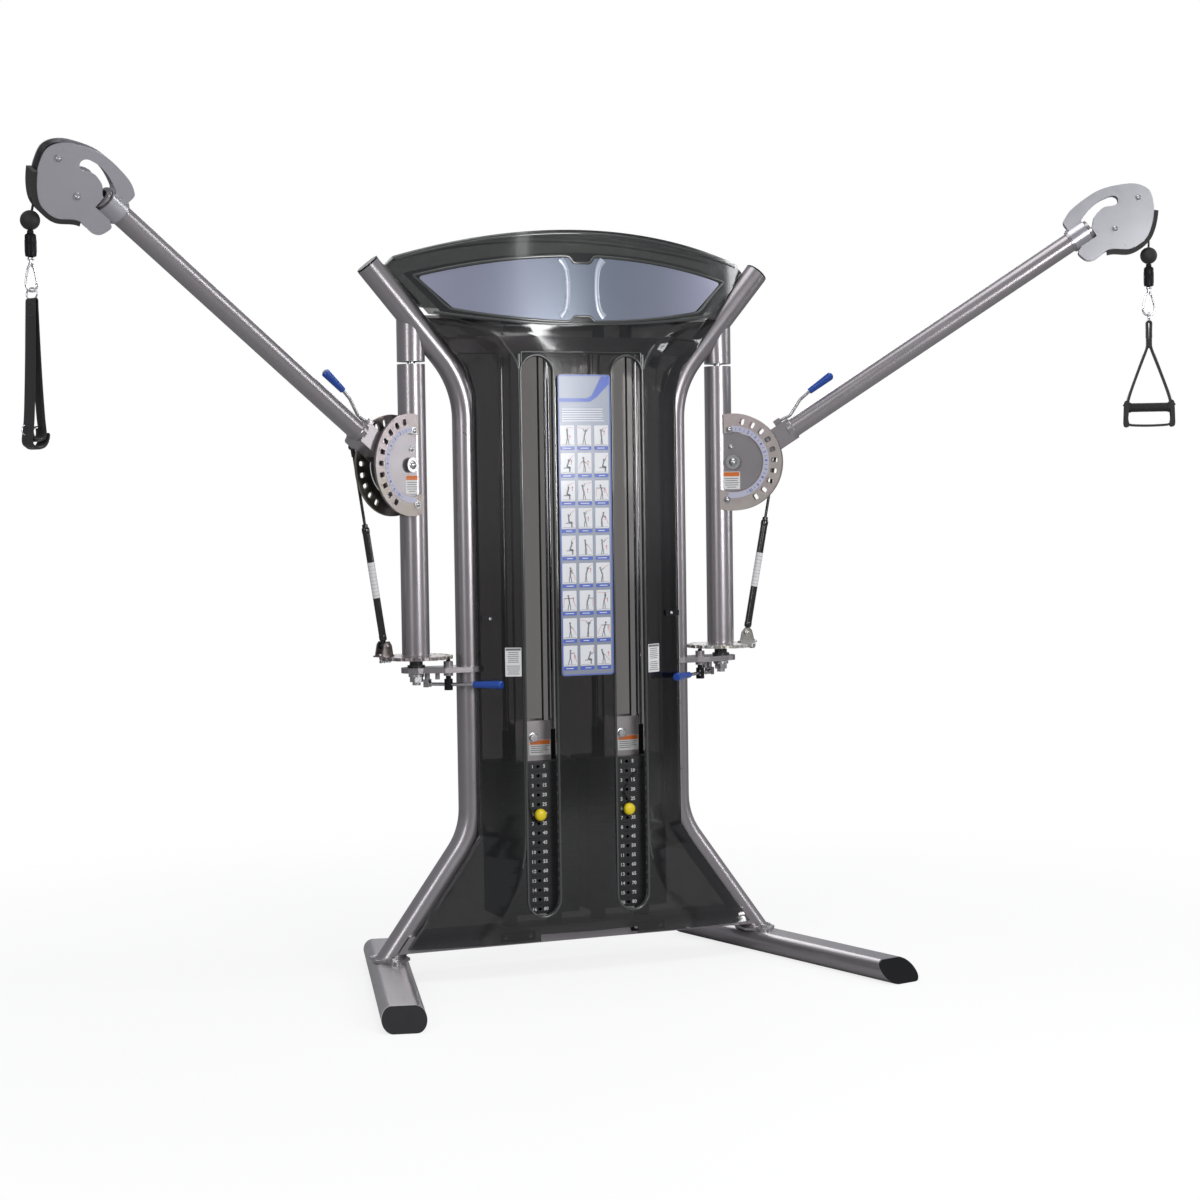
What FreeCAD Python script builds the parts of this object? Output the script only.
import FreeCAD, Part
import math
import os

# Dual adjustable cable crossover machine.
# Frame: origin on the floor at the centre of the footprint, midway between the uprights,
# +X to the user's right, +Y to the back of the machine, +Z up.  All lengths in millimetres.
# The pieces are drawn with Y measured from the plane of the uprights, and every node is
# set back by FRAME_Y as it is written.

os.makedirs("parts", exist_ok=True)
Vector = FreeCAD.Vector
ORIGIN = Vector(0, 0, 0)
X_AXIS, Y_AXIS, Z_AXIS = Vector(1, 0, 0), Vector(0, 1, 0), Vector(0, 0, 1)
FRONT, BACK = Vector(0, -1, 0), Y_AXIS
DOWN, UP = Vector(0, 0, -1), Z_AXIS
SIDES = (-1, 1)
SIDE_NAMES = {-1: "left", 1: "right"}

# ---------------------------------------------------------------- dimensions
FRAME_Y = 177.6                       # plane of the uprights behind the footprint's centre

RAIL_W, RAIL_H, RAIL_WALL = 127.0, 63.5, 3.5
RAIL_X0, RAIL_SPLAY = 613.6, 0.235    # rail centreline X = X0 - SPLAY * Y
RAIL_REAR_Y, RAIL_FRONT_TOP_Y, RAIL_FRONT_BOT_Y = 350.0, -650.0, -722.0
PLUG_CLR = 0.3                        # end plugs inside a tube

UP_OD, UP_WALL = 76.2, 3.2            # bent upright tube
UP_R = UP_OD / 2
UP_FOOT = Vector(616.0, 0, RAIL_H)    # where the lower leg meets the base rail
UP_LOW = Vector(345.5, 0, 436.0)      # bend corners
UP_HIGH = Vector(345.5, 0, 1813.0)
UP_TOP = Vector(641.3, 0, 2166.0)     # open top end
BEND_RADII = (230.0, 300.0)
LEG_DIR = (UP_FOOT - UP_LOW).normalize()
TOP_DIR = (UP_TOP - UP_HIGH).normalize()
LEG_END = UP_FOOT + LEG_DIR * 60      # the leg is drawn past the rail and trimmed
FLANGE_Z0, FLANGE_Z1 = UP_FOOT.z + 0.1, UP_FOOT.z + 8
FLANGE_BOLT_Y = 64

COL_X, COL_Y, COL_OD, COL_WALL = 509.4, 10.7, 85.0, 4.0
COL_R = COL_OD / 2
COL_Z0, COL_Z1, STUB_Z0 = 986.0, 1870.0, 1878.0
PIVOT_PLATE_Z0, PIVOT_PLATE_Z1 = 934.0, 950.0
INDEX_Z0, INDEX_Z1, INDEX_R, INDEX_STEP = 976.0, 985.9, 112.0, 15
SPINDLE_R, RUN_CLR = 12.5, 0.08

PLUNGER_DX, PLUNGER_DY = -90.0, -38.0     # plunger axis from the column axis
PLUNGER_X, PLUNGER_Y = COL_X + PLUNGER_DX, COL_Y + PLUNGER_DY
PLUNGER_R = 8.0
LEVER_PIN_R = 2.5                     # cross pin of the column lever
LEVER_PIVOT = Vector(COL_X - 37.0, COL_Y + 8.0, 897.5)
LEVER_DIR = Vector(-0.755, -0.656, 0).normalize()
LEVER_AXIS = LEVER_DIR.cross(Z_AXIS)
LEVER_ANGLE = math.degrees(math.atan2(LEVER_DIR.y, LEVER_DIR.x))

ARM_YAW, ARM_PITCH = 29.2, 32.94      # rest attitude of the arms, degrees
COS_YAW, SIN_YAW = math.cos(math.radians(ARM_YAW)), math.sin(math.radians(ARM_YAW))
COS_PITCH, SIN_PITCH = math.cos(math.radians(ARM_PITCH)), math.sin(math.radians(ARM_PITCH))
ARM_OFF = -14.4                       # arm tube axis passes this far below the pivot
PIV_X, PIV_Z, PIV_R = 50.0, 1565.0, 9.5   # arm pivot, measured from the column axis
ARM_OD, ARM_WALL, ARM_LEN = 60.3, 3.0, 1284.0
SPIGOT_R = 26.0                       # the head's collar turns on this
CHEEK_Y0, CHEEK_Y1 = 34.0, 37.0       # cheek plate inner and outer faces

SECTOR_R, SECTOR_RI, SECTOR_T = 154.0, 95.0, 8.0
SECTOR_HOLES, SECTOR_STEP, SECTOR_HOLE_R = 10, 15.0, 130.6
SECTOR_BOLTS = ((-11, 103), (-20, -119))  # x, z from the arm pivot
PIN_DROP = 0.64                       # lock pin below the arm's own x axis, degrees
PIN_X = SECTOR_HOLE_R * math.cos(math.radians(PIN_DROP))
PIN_Z = -SECTOR_HOLE_R * math.sin(math.radians(PIN_DROP))
STRUT_LOW, STRUT_UP = Vector(80, 56, 1018), Vector(184, 72, 1621.3)   # in the column frame
STRUT_PIN_R = 5.0

BASE_Z0, BASE_Z1 = 86.0, 136.8        # base cross-member
TOP_Z0, TOP_Z1 = 1905.0, 1955.8       # top cross-member
TOP_X, TOP_Y0, TOP_Y1 = 560, -22, 42

ROD_R, ROD_X, STACK_Y = 9.5, (74.0, 223.0), 10.0
STACK_X, PLATE_W, PLATE_D, PLATE_PITCH, PLATE_N = 147.5, 264.0, 150.0, 29.5, 16
STACK_Z0 = 177.6
LIFT_ROWS = 6                         # rows carried by the selector
STEM_R, SELECTOR_HOLE_R = 11.0, 5.2
STACK_TOP = STACK_Z0 + PLATE_N * PLATE_PITCH - 0.9     # top of the head plate
LIFT_PULLEY_Z = 720.0
CABLE_X, CABLE_R = 46.0, 2.4          # falls of the cable either side of the stack centre
REDIRECT_Z = TOP_Z1 + 72.0
AXLE_R = 6.0

SHELL_T = 4.0
SLOT_W, SLOT_Z0, SLOT_Z1 = 100.0, 177.0, 1892.0
CLIP_X, CLIP_BOLT_X, CLIP_Z0, CLIP_Z1 = 304, 300, 1086, 1104
TAB_X = 217.0
HEADER_Y = 118.0                      # bulge of the header cover at its centre

HEAD_Y, HEAD_T = 19.0, 5.0            # head side plates: inner face and thickness
BALL_R, BALL_X, BALL_Z = 26.0, 211.0, -66.0   # cable ball, in the head frame
END_WIRE_R = 3.1
LEFT_HEAD_TURN = -29.4                # left head is turned about its arm, degrees
RING_R, RING_Z = 14.0, -191.0         # handle ring below the ball

nodes = {}


# ---------------------------------------------------------------- helpers
def put(name, *shapes):
    for shape in shapes:
        nodes.setdefault(name, []).extend(shape.Solids or [shape])


def mirror(shape):
    return shape.mirror(ORIGIN, X_AXIS)


def pair(shape):
    """A right-hand shape and its mirror."""
    return shape, mirror(shape)


def put_both(name, *shapes):
    """Right-hand pieces in one node and their mirrors on the left in another."""
    put("right_" + name, *shapes)
    put("left_" + name, *[mirror(shape) for shape in shapes])


def box(x0, x1, y0, y1, z0, z1):
    return Part.makeBox(x1 - x0, y1 - y0, z1 - z0, Vector(x0, y0, z0))


def cyl_x(x, y, z, radius, length):
    return Part.makeCylinder(radius, length, Vector(x, y, z), X_AXIS)


def cyl_y(x, y, z, radius, length):
    return Part.makeCylinder(radius, length, Vector(x, y, z), Y_AXIS)


def cyl_z(x, y, z, radius, length):
    return Part.makeCylinder(radius, length, Vector(x, y, z), Z_AXIS)


def rod(start, end, radius):
    return Part.makeCylinder(radius, (end - start).Length, start, end - start)


def fuse(first, *others):
    for other in others:
        first = first.fuse(other)
    return first.removeSplitter()


def cut_all(shape, *tools):
    for tool in tools:
        shape = shape.cut(tool)
    return shape


def largest(shape):
    return max(shape.Solids, key=lambda solid: solid.Volume)


def moved(shape, axis, angle, offset):
    """Copy turned about an axis through the origin, then shifted."""
    shape = shape.copy()
    shape.rotate(ORIGIN, axis, angle)
    shape.translate(offset)
    return shape


def closed_wire(corners):
    return Part.makePolygon(corners + [corners[0]])


def prism(outline, axis, start, end):
    """Prism of a polygon given by its two in-plane coordinates, along the named axis."""
    if axis == "z":
        corners, direction = [Vector(x, y, start) for x, y in outline], Z_AXIS
    elif axis == "y":
        corners, direction = [Vector(x, start, z) for x, z in outline], Y_AXIS
    else:
        corners, direction = [Vector(start, y, z) for y, z in outline], X_AXIS
    return Part.Face(closed_wire(corners)).extrude(direction * (end - start))


def smooth_loop(outline, y):
    """Closed smooth curve through (x, z) points."""
    curve = Part.BSplineCurve()
    curve.interpolate([Vector(x, y, z) for x, z in outline], PeriodicFlag=True)
    return curve


def smooth_prism(outline, y0, y1):
    wire = Part.Wire([smooth_loop(outline, y0).toShape()])
    return Part.Face(wire).extrude(Vector(0, y1 - y0, 0))


def round_edges(block, axis, radius):
    """Fillet the edges of a block that run along an axis."""
    edges = [edge for edge in block.Edges
             if abs((edge.Vertexes[0].Point - edge.Vertexes[1].Point).dot(axis)) > 1]
    return block.makeFillet(radius, edges)


def bent_path(corners, radii):
    """Wire of straight runs joined by tangent arcs."""
    edges, last = [], corners[0]
    for before, corner, after, radius in zip(corners, corners[1:], corners[2:], radii):
        to_before = (before - corner).normalize()
        to_after = (after - corner).normalize()
        half_angle = to_before.getAngle(to_after) / 2
        setback = radius / math.tan(half_angle)
        start, end = corner + to_before * setback, corner + to_after * setback
        bisector = (to_before + to_after).normalize()
        centre = corner + bisector * (radius / math.sin(half_angle))
        edges.append(Part.makeLine(last, start))
        edges.append(Part.Arc(start, centre - bisector * radius, end).toShape())
        last = end
    edges.append(Part.makeLine(last, corners[-1]))
    return Part.Wire(edges)


def pipe(corners, bend_radii, radius):
    path = bent_path(corners, bend_radii)
    first = path.Edges[0]
    direction = first.tangentAt(first.FirstParameter)
    profile = Part.Wire([Part.makeCircle(radius, corners[0], direction)])
    return path.makePipeShell([profile], True, False)


def hex_head(seat, direction, radius, height):
    """Hexagonal head with its seat at a point, pointing along +-y or +-z."""
    across = direction.cross(X_AXIS).normalize()
    other = direction.cross(across)
    corners = [Vector(*seat) + across * (radius * math.cos(k * math.pi / 3))
               + other * (radius * math.sin(k * math.pi / 3)) for k in range(6)]
    return Part.Face(closed_wire(corners)).extrude(direction * height)


def dome(seat, direction, radius, height):
    """Domed bolt head."""
    seat = Vector(*seat)
    ball_r = (radius * radius + height * height) / (2 * height)
    ball = Part.makeSphere(ball_r, seat - direction * (ball_r - height))
    return ball.common(Part.makeCylinder(radius + 1, height + 1, seat, direction))


def taper_grip(start, direction, length, radius, band, ball_shift, cap_length):
    """Grip widening along its length, ended by a short band and part of a ball."""
    end = start + direction * length
    cap_start = end + direction * 3
    ball = Part.makeSphere(radius, end + direction * ball_shift)
    cone = Part.makeCone(9.5, radius, length, start, direction)
    cap = ball.common(Part.makeCylinder(14, cap_length, cap_start, direction))
    return cone.fuse(Part.makeCylinder(radius, band, end, direction)).fuse(cap)


def pulley(x, y, z, rim_r, groove_r, width, bore_r):
    """Grooved rope wheel on a y axis, with a ring recess in each face."""
    half = width / 2.0
    profile = [(bore_r, -half), (rim_r, -half), (rim_r, -half + 2.2), (groove_r, -2.4),
               (groove_r, 2.4), (rim_r, half - 2.2), (rim_r, half), (bore_r, half)]
    face = Part.Face(closed_wire([Vector(r, 0, h) for r, h in profile]))
    wheel = face.revolve(ORIGIN, Z_AXIS, 360)
    for h in (half - 3, -half - 1):
        recess = cyl_z(0, 0, h, groove_r * 0.78, 4).cut(cyl_z(0, 0, h, groove_r * 0.34, 4))
        wheel = wheel.cut(recess)
    wheel.Placement = FreeCAD.Placement(Vector(x, y, z), FreeCAD.Rotation(Z_AXIS, Y_AXIS))
    return wheel


def arc_points(first, middle, last, n=60):
    """n + 1 points on the circle through three points of a plane."""
    (x1, y1), (x2, y2), (x3, y3) = first, middle, last
    a, b = 2 * (x2 - x1), 2 * (y2 - y1)
    c = x2 ** 2 + y2 ** 2 - x1 ** 2 - y1 ** 2
    d, e = 2 * (x3 - x2), 2 * (y3 - y2)
    f = x3 ** 2 + y3 ** 2 - x2 ** 2 - y2 ** 2
    cx = (c * e - f * b) / (e * a - b * d)
    cy = (c * d - a * f) / (b * d - a * e)
    radius = math.hypot(x1 - cx, y1 - cy)
    start = math.atan2(y1 - cy, x1 - cx)
    end = math.atan2(y3 - cy, x3 - cx)
    mid = math.atan2(y2 - cy, x2 - cx)
    while end < start:
        end += 2 * math.pi
    while mid < start:
        mid += 2 * math.pi
    if mid > end:
        end -= 2 * math.pi
    angles = [start + (end - start) * k / n for k in range(n + 1)]
    return [(cx + radius * math.cos(t), cy + radius * math.sin(t)) for t in angles]


def round_corner(points, index, radius, n=7):
    """The outline with one corner replaced by a short curve."""
    def toward(other):
        dx, dy = other[0] - corner[0], other[1] - corner[1]
        length = math.hypot(dx, dy)
        return dx / length, dy / length, length

    corner = points[index]
    ax, ay, a_len = toward(points[index - 1])
    bx, by, b_len = toward(points[(index + 1) % len(points)])
    half = math.acos(max(-1.0, min(1.0, ax * bx + ay * by))) / 2
    setback = min(radius / math.tan(half), 0.95 * min(a_len, b_len))
    start = (corner[0] + ax * setback, corner[1] + ay * setback)
    end = (corner[0] + bx * setback, corner[1] + by * setback)
    curve = []
    for i in range(n + 1):
        t = i / n
        curve.append(tuple((1 - t) ** 2 * p + 2 * t * (1 - t) * q + t * t * r
                           for p, q, r in zip(start, corner, end)))
    return points[:index] + curve + points[index + 1:]


def offset_path(points, distance):
    """Open path shifted sideways; each point moves square to its neighbours' chord."""
    shifted = []
    for i, point in enumerate(points):
        before = points[max(0, i - 1)]
        after = points[min(len(points) - 1, i + 1)]
        dx, dy = after[0] - before[0], after[1] - before[1]
        length = math.hypot(dx, dy)
        shifted.append((point[0] - dy / length * distance, point[1] + dx / length * distance))
    return shifted


def strip(points, offset_a, offset_b, y0, y1):
    """Solid between two smooth offsets of an (x, z) path, from y0 to y1."""
    ends, edges = [], []
    for offset in (offset_a, offset_b):
        side = [Vector(x, y0, z) for x, z in offset_path(points, offset)]
        curve = Part.BSplineCurve()
        curve.interpolate(side)
        edges.append(curve.toShape())
        ends.append((side[0], side[-1]))
    first = Part.makeLine(ends[0][0], ends[1][0])
    last = Part.makeLine(ends[0][1], ends[1][1])
    wire = Part.Wire(Part.__sortEdges__([edges[0], first, edges[1], last]))
    return Part.Face(wire).extrude(Vector(0, y1 - y0, 0))


# ---------------------------------------------------------------- base rails
def flat_oval(width, height, y0, y1, lift):
    radius = height / 2.0
    flat = width / 2.0 - radius
    oval = fuse(box(-flat, flat, y0, y1, 0, height),
                cyl_y(-flat, y0, radius, radius, y1 - y0),
                cyl_y(flat, y0, radius, radius, y1 - y0))
    oval.translate(Vector(0, 0, lift))
    return oval


def slope_cut(offset):
    """Everything in front of the sloping front cut plane, shifted forward by offset."""
    slope = (RAIL_FRONT_TOP_Y - RAIL_FRONT_BOT_Y) / RAIL_H
    z0, z1 = -40.0, 120.0
    y_floor = RAIL_FRONT_BOT_Y - offset
    outline = [(-2000, z0), (y_floor + slope * z0, z0), (y_floor + slope * z1, z1), (-2000, z1)]
    return prism(outline, "x", -200, 200)


def base_rails():
    """Splayed rails, each with a sloping front cap and a square rear cap."""
    bore_w, bore_h = RAIL_W - 2 * RAIL_WALL, RAIL_H - 2 * RAIL_WALL
    plug_w, plug_h = bore_w - 2 * PLUG_CLR, bore_h - 2 * PLUG_CLR
    plug_z = RAIL_WALL + PLUG_CLR
    outer = flat_oval(RAIL_W, RAIL_H, -900, RAIL_REAR_Y, 0)
    inner = flat_oval(bore_w, bore_h, -901, RAIL_REAR_Y + 1, RAIL_WALL)
    rail = outer.cut(inner).cut(slope_cut(0))

    lid = flat_oval(RAIL_W - 1.0, RAIL_H - 1.0, -900, 0, 0.5)
    lid = lid.common(slope_cut(0).cut(slope_cut(5.0)))
    plug = flat_oval(plug_w, plug_h, -900, -600, plug_z)
    plug = plug.common(slope_cut(-26)).cut(slope_cut(0))
    front_cap = fuse(lid, plug)

    rear_cap = fuse(flat_oval(plug_w, plug_h, RAIL_REAR_Y - 25, RAIL_REAR_Y, plug_z),
                    flat_oval(RAIL_W - 1.0, RAIL_H - 1.0, RAIL_REAR_Y, RAIL_REAR_Y + 5, 0.5))
    splay = math.degrees(math.atan(RAIL_SPLAY))
    for name, piece in (("base_rails", rail), ("tube_end_caps", front_cap),
                        ("tube_end_caps", rear_cap)):
        put(name, *pair(moved(piece, Z_AXIS, splay, Vector(RAIL_X0, 0, 0))))


# ---------------------------------------------------------------- uprights
def upright_pipe(radius, past_end=0):
    corners = [LEG_END + LEG_DIR * past_end, UP_LOW, UP_HIGH, UP_TOP + TOP_DIR * past_end]
    return pipe(corners, BEND_RADII, radius)


def foot_flange():
    """Foot flange, bolted down on the rail."""
    x = UP_FOOT.x
    plate = prism([(x - 56, -38), (x - 26, -62), (x + 26, -62), (x + 50, -38), (x + 50, 38),
                   (x + 26, 62), (x - 26, 62), (x - 56, 38)], "z", FLANGE_Z0, FLANGE_Z1)
    flange = fuse(plate, *[cyl_z(x, y, FLANGE_Z0, 26, 7.9) for y in (-62, 62)])
    return cut_all(flange, *[cyl_z(x, side * FLANGE_BOLT_Y, UP_FOOT.z - 5, 6.6, 30)
                             for side in SIDES])


def column_stub():
    """Fixed column end, trimmed to the upright's upper diagonal."""
    slope = TOP_DIR.z / TOP_DIR.x
    z = UP_HIGH.z + (COL_X - UP_HIGH.x) * slope
    below = prism([(COL_X - 300, z - 300 * slope), (COL_X + 300, z + 300 * slope),
                   (COL_X + 300, z - 900), (COL_X - 300, z - 900)], "y", -200, 200)
    return cyl_z(COL_X, COL_Y, STUB_Z0, COL_R, 180).common(below)


def pivot_plate():
    """Lower plate, wrapped round the upright and reaching out to the column axis."""
    outline = []
    for degrees in range(-100, 101, 20):
        angle = math.radians(degrees)
        outline.append((COL_X + 46 * math.cos(angle), COL_Y + 46 * math.sin(angle)))
    outline += [(400, 52), (345, 54), (318, 44), (304, 18), (306, -30), (322, -54),
                (352, -62), (400, -60), (440, -62)]
    return prism(outline, "z", PIVOT_PLATE_Z0, PIVOT_PLATE_Z1)


def lever_fork():
    """Fork under the post: the lever eye hangs between its cheeks on a cross pin."""
    fork = box(-8, 8, -13, 13, 888, 912).cut(box(-10, 10, -9.5, 9.5, 887, 907))
    fork = moved(fork, Z_AXIS, LEVER_ANGLE, Vector(LEVER_PIVOT.x, LEVER_PIVOT.y, 0))
    return fork.cut(lever_cross_pin(LEVER_PIN_R + 0.05, 20))


def lever_cross_pin(radius, half_length):
    start = LEVER_PIVOT - LEVER_AXIS * half_length
    return Part.makeCylinder(radius, 2 * half_length, start, LEVER_AXIS)


def uprights():
    floor_cut = box(300, 900, -200, 200, -200, FLANGE_Z1)
    upright = upright_pipe(UP_R).cut(floor_cut).fuse(column_stub()).fuse(pivot_plate())
    upright = upright.cut(upright_pipe(UP_R - UP_WALL, 5))
    upright = upright.cut(cyl_z(COL_X, COL_Y, STUB_Z0 - 1, COL_R - 6, 46))   # bushing seat
    upright = fuse(upright, foot_flange())
    upright = upright.cut(cyl_z(COL_X, COL_Y, PIVOT_PLATE_Z0 - 5, SPINDLE_R + RUN_CLR, 40))
    # column lock: plunger guide above and below the plate, then the two lever posts
    guide = cyl_z(PLUNGER_X, PLUNGER_Y, PIVOT_PLATE_Z1 - 1, 14.5, 19)
    guide = guide.fuse(cyl_z(PLUNGER_X, PLUNGER_Y, PIVOT_PLATE_Z0 - 10, 14.5, 11))
    upright = upright.fuse(guide)
    upright = upright.cut(cyl_z(PLUNGER_X, PLUNGER_Y, PIVOT_PLATE_Z0 - 20,
                                PLUNGER_R + RUN_CLR, 60))
    outer = LEVER_PIVOT + LEVER_DIR * 34
    inner_post = cyl_z(LEVER_PIVOT.x, LEVER_PIVOT.y, 907.0, 8.0, PIVOT_PLATE_Z0 - 906.0)
    outer_post = cyl_z(outer.x, outer.y, 912.0, 7.0, PIVOT_PLATE_Z0 - 911.0)
    put_both("upright", fuse(upright, inner_post, outer_post, lever_fork()))

    # plugs in the open tube ends
    cap = fuse(rod(UP_TOP, UP_TOP + TOP_DIR * 5, UP_R - 0.8),
               rod(UP_TOP - TOP_DIR * 24, UP_TOP, UP_R - UP_WALL - PLUG_CLR))
    put("tube_end_caps", *pair(cap))


# ---------------------------------------------------------------- cross-members
def cross_tube(half_length, y0, y1, z0, z1, wall):
    bore = box(-half_length - 1, half_length + 1, y0 + wall, y1 - wall, z0 + wall, z1 - wall)
    return box(-half_length, half_length, y0, y1, z0, z1).cut(bore)


def cross_members():
    """Tubes between the uprights, coped to them and drilled for the guide rods."""
    base = cross_tube(600, -50.8, 50.8, BASE_Z0, BASE_Z1, 3.5)
    leg = rod(LEG_END + LEG_DIR * 40, UP_LOW - LEG_DIR * 60, UP_R + 0.3)
    outside = prism([(LEG_END.x, LEG_END.z), (UP_LOW.x, UP_LOW.z), (900, UP_LOW.z), (900, 0)],
                    "y", -300, 300)
    base = largest(cut_all(base, *pair(leg), *pair(outside)))

    top = cross_tube(TOP_X, TOP_Y0, TOP_Y1, TOP_Z0, TOP_Z1, 3.0)
    diagonal = rod(UP_HIGH - TOP_DIR * 150, UP_TOP, UP_R + 0.3)
    outside = prism([(UP_HIGH.x, UP_HIGH.z), (UP_TOP.x, UP_TOP.z),
                     (1200, UP_TOP.z), (1200, UP_HIGH.z)], "y", -300, 300)
    top = largest(cut_all(top, *pair(diagonal), *pair(outside)))

    rod_z0, rod_z1 = BASE_Z1 - 9.5, TOP_Z0 + 2.5
    for x in ROD_X:
        for side in SIDES:
            base = base.cut(cyl_z(side * x, STACK_Y, BASE_Z1 - 10, ROD_R + 0.3, 20))
            top = top.cut(cyl_z(side * x, STACK_Y, TOP_Z0 - 5, ROD_R + 0.3, 20))
            put("guide_rods", cyl_z(side * x, STACK_Y, rod_z0, ROD_R, rod_z1 - rod_z0))
    for side in SIDES:
        for fall in SIDES:
            x = side * STACK_X + fall * CABLE_X
            top = top.cut(cyl_z(x, STACK_Y, TOP_Z0 - 5, 8.0, 80))
    put("base_crossmember", base)
    put("top_crossmember", top)


# ---------------------------------------------------------------- weight stacks
def row_z(row):
    """Underside of a row; row 1 is the head plate."""
    return STACK_Z0 + (PLATE_N - row) * PLATE_PITCH


def selector_z(row):
    return row_z(row) + PLATE_PITCH / 2 - 0.4


def weight_plate(row, side):
    x, z = side * STACK_X, row_z(row)
    front_y = STACK_Y - PLATE_D / 2
    plate = box(x - PLATE_W / 2, x + PLATE_W / 2, front_y, STACK_Y + PLATE_D / 2,
                z + 0.1, z + PLATE_PITCH - 0.9)
    plate = round_edges(plate, Z_AXIS, 6.0)
    for rod_x in ROD_X:
        plate = plate.cut(cyl_z(side * rod_x, STACK_Y, z - 5, ROD_R + 1.0, 50))
    plate = plate.cut(cyl_z(x, STACK_Y, z - 5, STEM_R + 0.8, 50))
    return plate.cut(cyl_y(x, front_y - 5, selector_z(row), SELECTOR_HOLE_R, PLATE_D / 2 + 5))


def resting_stack(side):
    for row in range(LIFT_ROWS + 1, PLATE_N + 1):
        put("lower_weight_plates", weight_plate(row, side))
    for x in ROD_X:
        bumper = cyl_z(side * x, STACK_Y, BASE_Z1 + 0.1, 24, STACK_Z0 - BASE_Z1 - 0.2)
        bore = cyl_z(side * x, STACK_Y, BASE_Z1 - 5, ROD_R + 0.2, 60)
        put("stack_bumpers", bumper.cut(bore))


def lift_carriage(side):
    x = side * STACK_X
    # selector stem with one cross hole for each row, hung from the head plate
    stem = cyl_z(x, STACK_Y, STACK_Z0 + 6, STEM_R, STACK_TOP - STACK_Z0 + 10)
    for row in range(1, PLATE_N + 1):
        stem = stem.cut(cyl_y(x, STACK_Y - 30, selector_z(row), SELECTOR_HOLE_R, 60))
    foot_z = STACK_TOP + 0.05
    towers = []                       # bushing towers on the head plate
    for rod_x in ROD_X:
        tower_x = side * rod_x
        tower = cyl_z(tower_x, STACK_Y, foot_z, 12.6, 93)
        tower = tower.fuse(cyl_z(tower_x, STACK_Y, foot_z, 17, 8))
        towers.append(tower.cut(cyl_z(tower_x, STACK_Y, STACK_TOP - 5, ROD_R + RUN_CLR, 120)))
    # pulley bracket: two cheeks over a foot plate
    foot = box(x - 52, x + 52, STACK_Y - 36, STACK_Y + 36, foot_z, foot_z + 8)
    foot = foot.cut(cyl_z(x, STACK_Y, foot_z - 5, STEM_R + 0.1, 60))
    cheeks = [box(x - 58, x + 58, STACK_Y + y, STACK_Y + y + 5, foot_z, 772.0)
              for y in (-36, 31)]
    bracket = fuse(foot, *cheeks)
    bracket = bracket.cut(cyl_y(x, STACK_Y - 60, LIFT_PULLEY_Z, AXLE_R + 0.05, 120))
    axle = cyl_y(x, STACK_Y - 40, LIFT_PULLEY_Z, AXLE_R, 80)
    for y, direction in ((-36, FRONT), (36, BACK)):
        axle = axle.fuse(hex_head((x, STACK_Y + y, LIFT_PULLEY_Z), direction, 11, 8))
    nut = hex_head((x, STACK_Y, foot_z + 8.1), UP, 17, 9)
    nut = nut.cut(cyl_z(x, STACK_Y, foot_z, STEM_R + 0.05, 40))
    plates = [weight_plate(row, side) for row in range(1, LIFT_ROWS + 1)]
    return plates + [stem] + towers + [bracket, axle, nut]


def selector_pin(x):
    front_y, z = STACK_Y - PLATE_D / 2, selector_z(LIFT_ROWS)
    return fuse(cyl_y(x, front_y - 30, z, 19, 18), cyl_y(x, front_y - 12, z, 9, 11),
                cyl_y(x, front_y - 14, z, 4.7, PLATE_D / 2 + 24))


def lift_cable(x):
    """The two falls of the lifting cable, and the bight under the pulley."""
    height = TOP_Z1 + 30 - LIFT_PULLEY_Z
    falls = [cyl_z(x + side * CABLE_X, STACK_Y, LIFT_PULLEY_Z, CABLE_R, height)
             for side in SIDES]
    torus = Part.makeTorus(CABLE_X, CABLE_R, Vector(x, STACK_Y, LIFT_PULLEY_Z), Y_AXIS)
    lower = box(x - 80, x + 80, -50, 80, LIFT_PULLEY_Z - 80, LIFT_PULLEY_Z)
    return fuse(*falls, torus.common(lower))


def redirect_pulley(x):
    """Fixed pulley over the top cross-member, with its axle and two ears."""
    put("redirect_pulleys", pulley(x, STACK_Y, REDIRECT_Z, 36.0, 32.0, 18.0, 6.2),
        cyl_y(x, STACK_Y - 20, REDIRECT_Z, AXLE_R, 40))
    for y in (STACK_Y - 16, STACK_Y + 12):
        ear = box(x - 14, x + 14, y, y + 4, TOP_Z1 + 0.1, TOP_Z1 + 86)
        put("redirect_pulleys", ear.cut(cyl_y(x, STACK_Y - 40, REDIRECT_Z, AXLE_R, 80)))


def weight_stacks():
    for side in SIDES:
        name, x = SIDE_NAMES[side], side * STACK_X
        resting_stack(side)
        put(name + "_lift_carriage", *lift_carriage(side))
        put(name + "_lift_pulley",
            pulley(x, STACK_Y, LIFT_PULLEY_Z, 48.5, 43.0, 24.0, AXLE_R + RUN_CLR))
        put(name + "_selector_pin", selector_pin(x))
        put(name + "_lift_cable", lift_cable(x))
        for fall in SIDES:
            redirect_pulley(x + fall * CABLE_X)


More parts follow.
